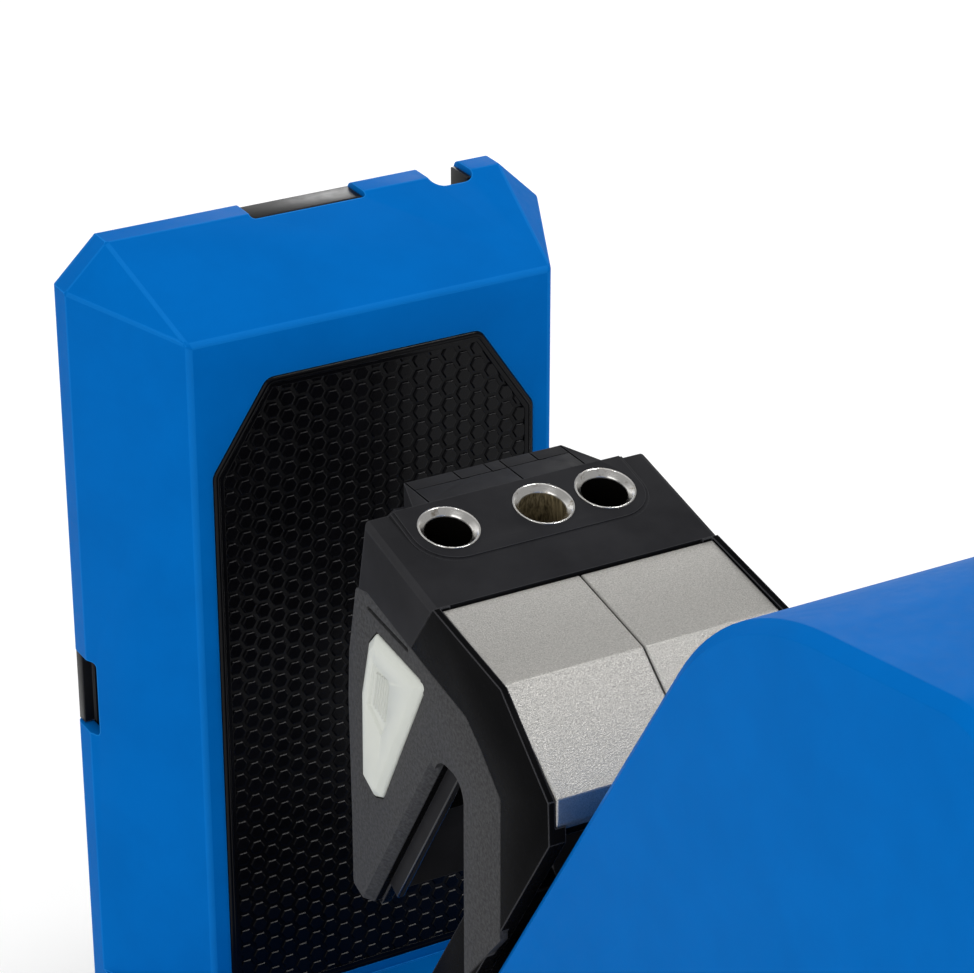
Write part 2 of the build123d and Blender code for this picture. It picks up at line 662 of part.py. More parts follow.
# Release buttons, pressed inwards against their own springs
for side, button_name in ((1, "release_button_right"), (-1, "release_button_left")):
    with BuildPart() as release_button:
        with BuildSketch(SIDE.offset(side * SHELL_IN)):
            Polygon(*BUTTON, align=None)
        extrude(amount=side * (BUTTON_OUT - SHELL_IN))
        outer_face = faces().sort_by(Axis.X)[-1 if side == 1 else 0]
        chamfer(outer_face.edges(), length=1.8, length2=1.1, reference=outer_face)
        # Lip behind the cheek
        with BuildSketch(SIDE.offset(side * (SHELL_IN - 0.2))):
            Polygon((-17.6, -22.6), (-14.4, -22.6), (-14.4, -28.4), (-17.6, -28.4), align=None)
        extrude(amount=-side * 2)
        with BuildSketch(SIDE.offset(side * SHELL_IN)):
            Polygon((-15.4, -23.6), (-14.4, -23.6), (-14.4, -28.0), (-15.4, -26.4), align=None)
        extrude(amount=-side * 1)
    save(release_button, button_name)

# Lever: a hooded arm, open along its underside
HOOD = [(-30.7, -92.4), (-117.3, 44.0), (-196.0, 56.1), (-196.0, 16.0), (-130.0, -95.0)]


def on_underside(run, depth):
    """A point measured along the lever's underside from its tip, and inwards from it."""
    unit = (Vector(HOOD[4]) - Vector(HOOD[3])).normalized()
    return (HOOD[3][0] + run * unit.X - depth * unit.Y, HOOD[3][1] + run * unit.Y + depth * unit.X)


with BuildPart() as handle:
    with BuildSketch(SIDE) as hood_profile:
        Polygon(*HOOD, align=None)
        for corner, radius in zip(HOOD, (BOSS_R + 0.4, 60, 16, 14, 12)):
            fillet(vertices().sort_by_distance(corner)[0], radius=radius)
    extrude(amount=LEVER_HALF, both=True)
    chamfer(faces().sort_by(Axis.X)[-1].edges(), length=LEVER_EDGE)
    chamfer(faces().sort_by(Axis.X)[0].edges(), length=LEVER_EDGE)
    with BuildSketch(SIDE):
        add(hood_profile.sketch_local)
        offset(amount=-LEVER_WALL, mode=Mode.REPLACE)
    extrude(amount=LEVER_HALF - LEVER_SKIN, both=True, mode=Mode.SUBTRACT)
    with BuildSketch(SIDE):
        Polygon(
            on_underside(19, -3),
            on_underside(19, 4.5),
            on_underside(90, 4.5),
            (-20.0, -60.0),
            (-20.0, -112.0),
            (-160.0, -112.0),
            align=None,
        )
    extrude(amount=LEVER_HALF - LEVER_SKIN, both=True, mode=Mode.SUBTRACT)
    for side in (1, -1):
        # Bosses for the pivot bolt and the drive pin
        with BuildSketch(SIDE.offset(side * (FRAME_OUT + 0.25))):
            with Locations(PIVOT):
                Circle(BOSS_R - 0.4)
            with Locations(PIN):
                RegularPolygon(7, 6)
        extrude(amount=side * (LEVER_HALF - LEVER_SKIN - FRAME_OUT - 0.25))
        with BuildSketch(SIDE.offset(side * (LEVER_HALF - 2.35))):
            with Locations(PIVOT):
                Circle(6.6)
        extrude(amount=side * 5, mode=Mode.SUBTRACT)
    with BuildSketch(SIDE):
        with Locations(PIVOT):
            Circle(BOLT_R + 0.05)
    extrude(amount=40, both=True, mode=Mode.SUBTRACT)
    with BuildSketch(SIDE):
        with Locations(PIN):
            Circle(DRIVE_PIN_R)
    extrude(amount=LEVER_HALF - 2, both=True, mode=Mode.SUBTRACT)
save(handle, "handle")

with BuildPart() as handle_insert:
    with BuildSketch(SIDE):
        Polygon(
            on_underside(19, 0.4),
            on_underside(75, 0.4),
            on_underside(75, 3.4),
            on_underside(19, 3.4),
            align=None,
        )
    extrude(amount=LEVER_HALF - LEVER_SKIN, both=True)
save(handle_insert, "handle_insert")

with BuildPart() as drive_pin:
    with BuildSketch(SIDE):
        with Locations(PIN):
            Circle(DRIVE_PIN_R)
    extrude(amount=LEVER_HALF - 2, both=True)
save(drive_pin, "drive_pin")
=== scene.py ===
"""Pocket hole jig: finishes, soft edges, the pieces that the solids leave out, light and camera."""
import math

import bmesh
import bpy
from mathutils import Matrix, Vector


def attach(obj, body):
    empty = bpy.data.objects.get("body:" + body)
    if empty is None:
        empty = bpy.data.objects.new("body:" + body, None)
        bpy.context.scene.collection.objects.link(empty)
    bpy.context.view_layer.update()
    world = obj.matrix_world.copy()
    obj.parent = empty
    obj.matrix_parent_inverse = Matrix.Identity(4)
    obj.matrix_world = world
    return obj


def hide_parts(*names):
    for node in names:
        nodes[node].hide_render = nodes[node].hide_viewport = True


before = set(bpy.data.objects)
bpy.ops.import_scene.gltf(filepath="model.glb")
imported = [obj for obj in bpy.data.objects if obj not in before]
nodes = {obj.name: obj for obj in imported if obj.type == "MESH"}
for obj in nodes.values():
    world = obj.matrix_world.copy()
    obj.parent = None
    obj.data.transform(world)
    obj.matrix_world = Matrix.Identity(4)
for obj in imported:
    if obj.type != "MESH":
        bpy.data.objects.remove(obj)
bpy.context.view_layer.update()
scene = bpy.context.scene

MM = 0.001
# The hole line of the drill guides, from which the part is laid out
HOLE_Y = 46.625 * MM
HOLE_Z = 184.0 * MM
DRILL_TILT = math.radians(15.0)
MIDDLE_GUIDE_X = 3.57
GUIDE_OUTER_R = 6.3
# Where a guide's bore begins below its chamfered mouth
BORE_START = -0.9
# The carriage's track
TRACK_ANGLE = math.radians(58)
TRACK_Y = math.cos(TRACK_ANGLE)
TRACK_Z = -math.sin(TRACK_ANGLE)

# Parts of a noise's range over which a colour or a gloss changes
NARROW_BAND = (0.35, 0.65)
WIDE_BAND = (0.3, 0.7)

# Mark on the long narrow faces of a rounded edge, and how strongly a painted highlight lightens
# them
EDGE_STRIP = "edge_strip"
STRIP_HIGHLIGHT = 0.28
# Limits of a strip: twice its width, taken as area over mean edge, and half its length
STRIP_WIDTH = 1.0 * MM
STRIP_EDGE = 4.0 * MM
# A rounded normal that leaves the surface's own between these cosines is an edge, which gets a
# painted highlight
EDGE_COSINES = (0.998, 0.988)
# How far a groove is looked into for its painted shade, and how open it is where the painted shade
# is full and where it's gone
GROOVE_REACH = 0.7
GROOVE_BAND = (0.45, 0.8)


# Node helpers
def feed(tree, socket, value):
    """Link a socket to another one, or give it a plain value."""
    if isinstance(value, bpy.types.NodeSocket):
        tree.links.new(value, socket)
    else:
        socket.default_value = value


def new_material(name):
    """An empty material with its shader and output."""
    material = bpy.data.materials.new(name)
    material.use_nodes = True
    tree = material.node_tree
    tree.nodes.clear()
    output = tree.nodes.new("ShaderNodeOutputMaterial")
    shader = tree.nodes.new("ShaderNodeBsdfPrincipled")
    tree.links.new(shader.outputs["BSDF"], output.inputs["Surface"])
    return material, tree, shader


def coordinates(tree, scale=(1, 1, 1)):
    """Object coordinates in millimetres, scaled."""
    source = tree.nodes.new("ShaderNodeTexCoord")
    mapping = tree.nodes.new("ShaderNodeMapping")
    mapping.inputs["Scale"].default_value = [s / MM for s in scale]
    tree.links.new(source.outputs["Object"], mapping.inputs["Vector"])
    return mapping.outputs["Vector"]


def noise(tree, vector, scale, detail=3.0, roughness=0.5):
    """Noise with features of about 1 / scale millimetres."""
    node = tree.nodes.new("ShaderNodeTexNoise")
    node.inputs["Scale"].default_value = scale
    node.inputs["Detail"].default_value = detail
    node.inputs["Roughness"].default_value = roughness
    tree.links.new(vector, node.inputs["Vector"])
    return node.outputs["Fac"]


def calculate(tree, operation, *values):
    """The result of an operation on sockets and numbers."""
    node = tree.nodes.new("ShaderNodeMath")
    node.operation = operation
    for socket, value in zip(node.inputs, values):
        feed(tree, socket, value)
    return node.outputs[0]


def dot_product(tree, first, second):
    """How far two directions agree."""
    node = tree.nodes.new("ShaderNodeVectorMath")
    node.operation = "DOT_PRODUCT"
    feed(tree, node.inputs[0], first)
    feed(tree, node.inputs[1], second)
    return node.outputs["Value"]


def ramp(tree, value, source=(0.0, 1.0), result=(0.0, 1.0)):
    """A value mapped from one range to another, clamped."""
    node = tree.nodes.new("ShaderNodeMapRange")
    for name, number in zip(("From Min", "From Max", "To Min", "To Max"), (*source, *result)):
        node.inputs[name].default_value = number
    tree.links.new(value, node.inputs["Value"])
    return node.outputs["Result"]


def mix_colour(tree, factor, first, second):
    """Two colours, or a colour and a socket, mixed by a factor."""
    node = tree.nodes.new("ShaderNodeMix")
    node.data_type = "RGBA"
    tree.links.new(factor, node.inputs["Factor"])
    for socket, colour in ((node.inputs[6], first), (node.inputs[7], second)):
        is_plain = isinstance(colour, tuple)
        feed(tree, socket, (*colour, 1.0) if is_plain else colour)
    return node.outputs[2]


def blend_value(tree, factor, first, second):
    """A number that goes from one socket to a fixed value by a factor."""
    node = tree.nodes.new("ShaderNodeMix")
    node.data_type = "FLOAT"
    tree.links.new(factor, node.inputs["Factor"])
    tree.links.new(first, node.inputs[2])
    node.inputs[3].default_value = second
    return node.outputs[0]


def bump(tree, shader, height, strength, distance, under=None):
    """A bump on the shader's normal, over another where one is given."""
    node = tree.nodes.new("ShaderNodeBump")
    node.inputs["Strength"].default_value = strength
    node.inputs["Distance"].default_value = distance * MM
    tree.links.new(height, node.inputs["Height"])
    if under is not None:
        tree.links.new(under, node.inputs["Normal"])
    tree.links.new(node.outputs["Normal"], shader.inputs["Normal"])


def srgb(red, green, blue):
    """Linear colour of an 8-bit screen colour."""
    channels = [value / 255 for value in (red, green, blue)]
    return tuple(c / 12.92 if c <= 0.04045 else ((c + 0.055) / 1.055) ** 2.4 for c in channels)


def rounded_edge(tree, radius):
    """A normal rounded over edges, and how close to an edge a point is, from 0 to 1: the mask of a
    painted highlight.
    """
    rounding = tree.nodes.new("ShaderNodeBevel")
    rounding.samples = 6
    rounding.inputs["Radius"].default_value = radius * MM
    surface = tree.nodes.new("ShaderNodeNewGeometry")
    agree = dot_product(tree, rounding.outputs["Normal"], surface.outputs["Normal"])
    sharp = ramp(tree, agree, EDGE_COSINES)
    strip = tree.nodes.new("ShaderNodeAttribute")
    strip.attribute_name = EDGE_STRIP
    soft = ramp(tree, strip.outputs["Fac"], result=(0.0, STRIP_HIGHLIGHT))
    return rounding.outputs["Normal"], calculate(tree, "MAXIMUM", sharp, soft)


def openness(tree):
    """From 0 inside narrow grooves to 1 on open faces: the mask of the painted shade in grooves."""
    around = tree.nodes.new("ShaderNodeAmbientOcclusion")
    around.samples = 8
    around.only_local = True
    around.inputs["Distance"].default_value = GROOVE_REACH * MM
    return ramp(tree, around.outputs["AO"], GROOVE_BAND)


# Finishes
def moulded_plastic(
    name,
    colour,
    darker,
    roughness,
    grain=3.0,
    depth=0.01,
    specular=0.5,
    edge=None,
    rounding=0.4,
    groove_shade=None,
):
    """Moulded plastic: clouded colour, fine grain, uneven gloss, painted highlights on its edges
    and painted shade in its grooves.
    """
    material, tree, shader = new_material(name)
    where = coordinates(tree)
    cloud = noise(tree, where, scale=0.05, detail=4.0, roughness=0.6)
    shade = mix_colour(tree, ramp(tree, cloud, NARROW_BAND), darker, colour)
    normal, painted_light = rounded_edge(tree, rounding)
    # The edge colour lightens the edges: a painted highlight
    if edge:
        shade = mix_colour(tree, painted_light, shade, edge)
    # The groove colour darkens narrow grooves: painted shade
    if groove_shade:
        shade = mix_colour(tree, openness(tree), groove_shade, shade)
    tree.links.new(shade, shader.inputs["Base Color"])
    gloss = noise(tree, where, scale=0.4, detail=4.0, roughness=0.6)
    tree.links.new(ramp(tree, gloss, WIDE_BAND, roughness), shader.inputs["Roughness"])
    shader.inputs["Specular IOR Level"].default_value = specular
    fine = noise(tree, where, grain, detail=2.0)
    bump(tree, shader, fine, strength=0.35, distance=depth, under=normal)
    return material


def grained_plastic():
    """Matte grey plastic with a coarse spark-eroded grain."""
    material, tree, shader = new_material("grained_plastic")
    spots = noise(tree, coordinates(tree), scale=1.3, roughness=0.7)
    shade = mix_colour(tree, ramp(tree, spots, NARROW_BAND), srgb(46, 46, 47), srgb(68, 68, 69))
    tree.links.new(shade, shader.inputs["Base Color"])
    shader.inputs["Roughness"].default_value = 0.6
    shader.inputs["Specular IOR Level"].default_value = 0.1
    bump(tree, shader, spots, strength=0.6, distance=0.08)
    return material


def rubber():
    """Soft black rubber with a dull bloom."""
    material, tree, shader = new_material("rubber")
    where = coordinates(tree)
    bloom = noise(tree, where, scale=0.12, detail=4.0, roughness=0.6)
    shade = mix_colour(tree, ramp(tree, bloom, WIDE_BAND), srgb(3, 3, 5), srgb(8, 8, 11))
    tree.links.new(shade, shader.inputs["Base Color"])
    shader.inputs["Roughness"].default_value = 0.25
    shader.inputs["Specular IOR Level"].default_value = 0.12
    bump(tree, shader, noise(tree, where, scale=2.5), strength=0.3, distance=0.02)
    return material


def blasted_metal():
    """Cast nose plates: blasted grain with bright and dark specks."""
    material, tree, shader = new_material("blasted_metal")
    where = coordinates(tree)
    grain = noise(tree, where, scale=3.4, roughness=0.6)
    specks = noise(tree, where, scale=5.0, detail=2.0, roughness=0.6)
    is_dark = ramp(tree, specks, (0.66, 0.74))
    is_bright = ramp(tree, specks, (0.3, 0.24))
    shade = mix_colour(tree, ramp(tree, grain, WIDE_BAND), srgb(172, 170, 166), srgb(202, 200, 195))
    shade = mix_colour(tree, is_dark, shade, srgb(118, 112, 106))
    shade = mix_colour(tree, is_bright, shade, srgb(246, 244, 240))
    tree.links.new(shade, shader.inputs["Base Color"])
    shader.inputs["Metallic"].default_value = 1.0
    tree.links.new(ramp(tree, grain, WIDE_BAND, (0.56, 0.4)), shader.inputs["Roughness"])
    bump(tree, shader, grain, strength=0.9, distance=0.08)
    return material


def along_bore(tree, where):
    """Height above the hole line along the drills, and distance across the row, in millimetres."""
    drill = (0, -math.sin(DRILL_TILT), math.cos(DRILL_TILT))
    start = (drill[1] * HOLE_Y + drill[2] * HOLE_Z) / MM
    reach = 40
    along = dot_product(tree, where, drill)
    height = ramp(tree, along, (start - reach, start + reach), (-reach, reach))
    across = tree.nodes.new("ShaderNodeSeparateXYZ")
    tree.links.new(where, across.inputs[0])
    return height, across.outputs["X"]


def turned_steel():
    """Drill guides: bright turned mouths, and bores darkened with painted shade, the middle one
    lighter and streaked with painted light.
    """
    material, tree, shader = new_material("turned_steel")
    where = coordinates(tree)
    height, across = along_bore(tree, where)
    marks = noise(tree, where, scale=0.35, detail=5.0, roughness=0.7)
    stained = ramp(tree, marks, (0.55, 0.7))
    mouth = mix_colour(tree, stained, srgb(244, 242, 238), srgb(168, 156, 138))
    upright = coordinates(tree, scale=(2.2, 2.2, 0.12))
    streaks = noise(tree, upright, scale=1.0, detail=4.0, roughness=0.7)
    # The middle bore's streaked colour is painted light seen inside it
    painted_light = mix_colour(tree, ramp(tree, streaks, NARROW_BAND), srgb(70, 62, 46), srgb(150, 136, 104))
    is_middle = calculate(tree, "COMPARE", across, MIDDLE_GUIDE_X, GUIDE_OUTER_R)
    # The left and right bores get a near-black colour: painted shade inside them
    bore = mix_colour(tree, is_middle, srgb(16, 15, 13), painted_light)
    inside = ramp(tree, height, (BORE_START - 0.3, BORE_START + 0.1), (1.0, 0.0))
    tree.links.new(mix_colour(tree, inside, mouth, bore), shader.inputs["Base Color"])
    tree.links.new(ramp(tree, inside, result=(1.0, 0.35)), shader.inputs["Metallic"])
    tree.links.new(ramp(tree, marks, WIDE_BAND, (0.14, 0.26)), shader.inputs["Roughness"])
    lines = noise(tree, where, scale=1.2, detail=2.0)
    bump(tree, shader, lines, strength=0.1, distance=0.01)
    return material


def plain_metal(name, colour, roughness):
    """Coated or zinc-plated metal with slight unevenness."""
    material, tree, shader = new_material(name)
    where = coordinates(tree)
    cloud = noise(tree, where, scale=0.3, detail=4.0, roughness=0.6)
    darker = tuple(c * 0.8 for c in colour)
    tree.links.new(mix_colour(tree, cloud, darker, colour), shader.inputs["Base Color"])
    shader.inputs["Metallic"].default_value = 1.0
    gloss = ramp(tree, cloud, WIDE_BAND, (roughness, roughness + 0.12))
    tree.links.new(gloss, shader.inputs["Roughness"])
    bump(tree, shader, noise(tree, where, scale=2.0), strength=0.2, distance=0.02)
    return material


BLUE_FINISH = {
    "colour": srgb(0, 102, 184),
    "darker": srgb(0, 98, 178),
    "roughness": (0.4, 0.5),
    "grain": 2.4,
    "depth": 0.03,
    "specular": 0.01,
}
# The edge colours given below are painted highlights along the edges; lever_plastic is the blue
# finish without them
blue_plastic = moulded_plastic("blue_plastic", edge=srgb(26, 128, 210), **BLUE_FINISH)
lever_plastic = moulded_plastic("lever_plastic", **BLUE_FINISH)
black_plastic = moulded_plastic(
    "black_plastic",
    colour=srgb(15, 15, 16),
    darker=srgb(11, 11, 12),
    roughness=(0.22, 0.3),
    specular=0.005,
    # painted highlight along the edges
    edge=srgb(66, 66, 68),
)
back_plastic = moulded_plastic(
    "back_plastic",
    colour=srgb(19, 19, 20),
    darker=srgb(14, 14, 15),
    roughness=(0.3, 0.4),
    specular=0.12,
    # painted highlight along the edges
    edge=srgb(50, 50, 52),
)
black_edge = moulded_plastic(
    "black_edge",
    colour=srgb(16, 16, 17),
    darker=srgb(12, 12, 13),
    roughness=(0.16, 0.22),
    specular=0.4,
)
block_plastic = moulded_plastic(
    "block_plastic",
    colour=srgb(45, 45, 47),
    darker=srgb(37, 37, 39),
    roughness=(0.4, 0.52),
    grain=2.2,
    depth=0.05,
    specular=0.01,
    # painted highlight along the edges
    edge=srgb(64, 64, 66),
    rounding=0.2,
    # painted shade in the grooves
    groove_shade=srgb(8, 8, 9),
)
light_plastic = moulded_plastic(
    "light_plastic",
    colour=srgb(205, 208, 200),
    darker=srgb(198, 201, 193),
    roughness=(0.35, 0.45),
)
cover_grey = grained_plastic()
rubber_black = rubber()
metal_nose = blasted_metal()
steel_guides = turned_steel()
zinc_steel = plain_metal("zinc_steel", srgb(170, 170, 172), 0.3)
dark_cast = plain_metal("dark_cast", srgb(52, 52, 54), 0.5)

# Each node's finish, and the radius that its edges are rounded by, in millimetres
DRESS = {
    "base_housing": (blue_plastic, 0.5),
    "back_cover": (back_plastic, 0.4),
    "bottom_plate": (black_plastic, 0.6),
    "rubber_feet": (rubber_black, 0.8),
    "clamp_pad": (rubber_black, 0.15),
    "track_frame": (dark_cast, 0.6),
    "pivot_bolts": (zinc_steel, 0),
    "carriage_shell": (black_plastic, 0.5),
    "side_cover_left": (cover_grey, 0.3),
    "side_cover_right": (cover_grey, 0.3),
    "nose_cap_left": (metal_nose, 0.4),
    "nose_cap_right": (metal_nose, 0.4),
    "guide_block": (block_plastic, 0.25),
    "drill_guides": (steel_guides, 0.1),
    "drive_arm": (dark_cast, 0.6),
    "guide_bar_left": (black_plastic, 0.4),
    "guide_bar_right": (black_plastic, 0.4),
    "release_button_left": (light_plastic, 0.5),
    "release_button_right": (light_plastic, 0.5),
    "handle": (lever_plastic, 0.6),
    "handle_insert": (black_plastic, 0.6),
    "drive_pin": (zinc_steel, 0),
}
# Finish of the rounded edges, where it differs from the faces
EDGE_FINISH = {"handle_insert": black_edge}
# Edges that turn by more than this are rounded, and some nodes have shallow bends
EDGE_ANGLE = 32
BEND_ANGLE = {"nose_cap_left": 12, "nose_cap_right": 12, "base_housing": 18}
# Faces that meet at less than this are one flat face
FLAT_ANGLE = math.radians(0.3)
WELD_DISTANCE = 1e-6


# Soft edges
def mark_strips(group, geometry):
    """Mark the long narrow faces that round the part's edges, where a painted highlight goes."""
    ends = group.nodes.new("GeometryNodeInputMeshEdgeVertices")
    length = group.nodes.new("ShaderNodeVectorMath")
    length.operation = "DISTANCE"
    group.links.new(ends.outputs["Position 1"], length.inputs[0])
    group.links.new(ends.outputs["Position 2"], length.inputs[1])
    mean = group.nodes.new("GeometryNodeFieldOnDomain")
    mean.domain = "EDGE"
    group.links.new(length.outputs["Value"], mean.inputs[0])
    area = group.nodes.new("GeometryNodeInputMeshFaceArea")
    width = calculate(group, "DIVIDE", area.outputs[0], mean.outputs[0])
    is_narrow = calculate(group, "LESS_THAN", width, STRIP_WIDTH)
    is_long = calculate(group, "GREATER_THAN", mean.outputs[0], STRIP_EDGE)
    store = group.nodes.new("GeometryNodeStoreNamedAttribute")
    store.domain = "FACE"
    store.inputs["Name"].default_value = EDGE_STRIP
    group.links.new(geometry, store.inputs["Geometry"])
    group.links.new(calculate(group, "MULTIPLY", is_narrow, is_long), store.inputs["Value"])
    return store.outputs["Geometry"]


def smoothing_group(degrees):
    """Geometry nodes that smooth faces and keep edges over an angle sharp."""
    group = bpy.data.node_groups.new(f"smooth_by_{degrees}_degrees", "GeometryNodeTree")
    for direction in ("INPUT", "OUTPUT"):
        group.interface.new_socket(
            "Geometry", in_out=direction, socket_type="NodeSocketGeometry"
        )
    start = group.nodes.new("NodeGroupInput")
    end = group.nodes.new("NodeGroupOutput")
    angle = group.nodes.new("GeometryNodeInputMeshEdgeAngle")
    compare = group.nodes.new("FunctionNodeCompare")
    compare.operation = "LESS_EQUAL"
    compare.inputs[1].default_value = math.radians(degrees)
    group.links.new(angle.outputs["Unsigned Angle"], compare.inputs[0])
    faces = group.nodes.new("GeometryNodeSetShadeSmooth")
    edges = group.nodes.new("GeometryNodeSetShadeSmooth")
    edges.domain = "EDGE"
    group.links.new(mark_strips(group, start.outputs[0]), faces.inputs["Geometry"])
    group.links.new(faces.outputs[0], edges.inputs["Geometry"])
    group.links.new(compare.outputs[0], edges.inputs["Shade Smooth"])
    group.links.new(edges.outputs[0], end.inputs[0])
    return group


SMOOTH = {degrees: smoothing_group(degrees) for degrees in {EDGE_ANGLE, *BEND_ANGLE.values()}}


def soften(piece, radius=0, degrees=EDGE_ANGLE, edge_finish=None):
    """Round a piece's sharp edges and shade its curves smooth."""
    weld = piece.modifiers.new("weld", "WELD")
    weld.merge_threshold = WELD_DISTANCE
    if radius:
        flat = piece.modifiers.new("flat_faces", "DECIMATE")
        flat.decimate_type = "DISSOLVE"
        flat.angle_limit = FLAT_ANGLE
        bevel = piece.modifiers.new("edges", "BEVEL")
        bevel.width = radius * MM
        bevel.segments = 3
        bevel.limit_method = "ANGLE"
        bevel.angle_limit = math.radians(degrees)
        bevel.use_clamp_overlap = True
        if edge_finish:
            piece.data.materials.append(edge_finish)
            bevel.material = 1
    smooth = piece.modifiers.new("smooth", "NODES")
    smooth.node_group = SMOOTH[degrees]


for name, node in nodes.items():
    finish, edge_radius = DRESS[name]
    node.data.materials.clear()
    node.data.materials.append(finish)
    soften(node, edge_radius, BEND_ANGLE.get(name, EDGE_ANGLE), EDGE_FINISH.get(name))


# Shape helpers
def at(x, y, z):
    """A point measured in millimetres from the hole line."""
    return Vector((x * MM, HOLE_Y + y * MM, HOLE_Z + z * MM))


def rounded(outline, radius, inset=0.0, steps=4):
    """A convex outline drawn in by an amount, its corners rounded, as pairs."""
    sharpest = 0.05
    corners = [Vector(point) for point in outline]
    area = sum(a.x * b.y - b.x * a.y for a, b in zip(corners, corners[1:] + corners[:1]))
    if area < 0:
        corners.reverse()
    points = []
    for k, corner in enumerate(corners):
        before = (corner - corners[k - 1]).normalized()
        after = (corners[(k + 1) % len(corners)] - corner).normalized()
        first = Vector((-before.y, before.x))
        last = Vector((-after.y, after.x))
        reach = (first + last) / (1 + first.dot(last))
        bend = max(radius - inset, sharpest)
        centre = corner + reach * (inset + bend)
        sweep = math.acos(max(-1.0, min(1.0, first.dot(last))))
        for step in range(steps + 1):
            turn = sweep * step / steps
            points.append(centre - bend * Vector((
                first.x * math.cos(turn) - first.y * math.sin(turn),
                first.x * math.sin(turn) + first.y * math.cos(turn),
            )))
    return points


def bridge(work, lower, upper):
    """A band of faces between two closed rings of corners."""
    for k in range(len(lower)):
        work.faces.new((lower[k - 1], lower[k], upper[k], upper[k - 1]))


def loft(work, rings, closed=False):
    """A solid through rings of points: capped at its ends, or closed on itself."""
    rings = [[work.verts.new(point) for point in ring] for ring in rings]
    for lower, upper in zip(rings, rings[1:]):
        bridge(work, lower, upper)
    if closed:
        bridge(work, rings[-1], rings[0])
    else:
        work.faces.new(rings[0])
        work.faces.new(rings[-1])


def new_object(name, data):
    """An object in the scene."""
    item = bpy.data.objects.new(name, data)
    scene.collection.objects.link(item)
    return item


def finished_mesh(work, name):
    """A mesh of what has been built, with its faces turned outward."""
    bmesh.ops.recalc_face_normals(work, faces=work.faces)
    mesh = bpy.data.meshes.new(name)
    work.to_mesh(mesh)
    work.free()
    return mesh


def new_piece(work, name, material, body, replaced=()):
    """A finished mesh as a piece of the scene that rides on a body."""
    mesh = finished_mesh(work, name)
    mesh.materials.append(material)
    piece = new_object(name, mesh)
    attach(piece, body)
    if replaced:
        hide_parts(*replaced)
    return piece


# Carriage shell, with its cheeks cut back to a narrow rim beside the nose plates
NOSE_LINE = [(-20.3, -5.6), (-44.1, -10.1), (-51.2, -15.8), (-63.9, -24.6), (-63.9, -30.0)]
CAP_STEP = (1.2, -2.1)
CAP_SIDE = 30.7
# The cut stops at this share of the plates' thickness, and reaches well outside the shell
CUT_DEPTH = 0.3
CUT_OUTSIDE = [(-70, -30), (-70, 4), (-20.0, 4)]


def trimmed_shell():
    """The shell's own mesh, less what stands above the nose plates inside the rim."""
    cut_floor = [(y + CUT_DEPTH * CAP_STEP[0], z + CUT_DEPTH * CAP_STEP[1]) for y, z in NOSE_LINE]
    section = [*cut_floor, *CUT_OUTSIDE]
    work = bmesh.new()
    loft(work, [[at(x, y, z) for y, z in section] for x in (-CAP_SIDE, CAP_SIDE)])
    cutter = new_object("cutter", finished_mesh(work, "cutter"))
    body = new_object("shell_copy", nodes["carriage_shell"].data.copy())
    weld = body.modifiers.new("weld", "WELD")
    weld.merge_threshold = WELD_DISTANCE
    cut = body.modifiers.new("cut", "BOOLEAN")
    cut.operation = "DIFFERENCE"
    cut.solver = "EXACT"
    cut.object = cutter
    bpy.context.view_layer.update()
    result = bmesh.new()
    result.from_mesh(body.evaluated_get(bpy.context.evaluated_depsgraph_get()).to_mesh())
    for item in (cutter, body):
        bpy.data.objects.remove(item)
    shell = new_piece(
        result, "shell_trimmed", black_plastic, "carriage", ["carriage_shell"]
    )
    soften(shell, DRESS["carriage_shell"][1])


# Release buttons: a soft wide bevel and a sunk mark with upright ribs
BUTTON = [
    (3.6, -21.3),
    (-16.6, -23.46),
    (2.0, -58.2),
    (5.1, -59.5),
    (10.3, -56.9),
    (10.0, -37.4),
    (6.6, -24.6),
]
BUTTON_CORNER_R = 1.0
# Inset from the outline, and distance from the middle of the jig
BUTTON_PROFILE = (
    (0.0, 28.5),
    (0.0, 32.1),
    (0.16, 32.4),
    (0.5, 32.68),
    (1.5, 33.16),
    (1.75, 33.28),
    (1.95, 33.34),
)
BUTTON_TOP = 33.34
MARK = [(3.4, -27.2), (6.4, -38.5), (0.3, -43.1), (-1.8, -39.3), (-3.7, -28.6)]
MARK_CORNER_R = 0.8
# Inset from the mark's outline, and height over the button's top
MARK_PROFILE = ((0.0, 0.0), (0.1, -0.06), (0.45, -0.5), (0.6, -0.55))
MARK_RIBS = 6
# Each rib's upper and lower end, and the step from one rib to the next
RIB_UPPER = ((2.2, -29.3), (-1.0, 0.1))
RIB_LOWER = ((4.2, -37.6), (-0.9, -0.3))
# Half width and height of a rib at its foot and at its crest
RIB_PROFILE = ((0.26, -0.65), (0.12, -0.28))


def mark_rib(work, side, number):
    """One upright rib in the sunk mark."""
    upper, lower = (
        (start[0] + step[0] * number, start[1] + step[1] * number)
        for start, step in (RIB_UPPER, RIB_LOWER)
    )
    rings = []
    for width, height in RIB_PROFILE:
        corners = ((upper, -width), (upper, width), (lower, width), (lower, -width))
        rings.append([at(side * (BUTTON_TOP + height), y + step, z) for (y, z), step in corners])
    loft(work, rings)


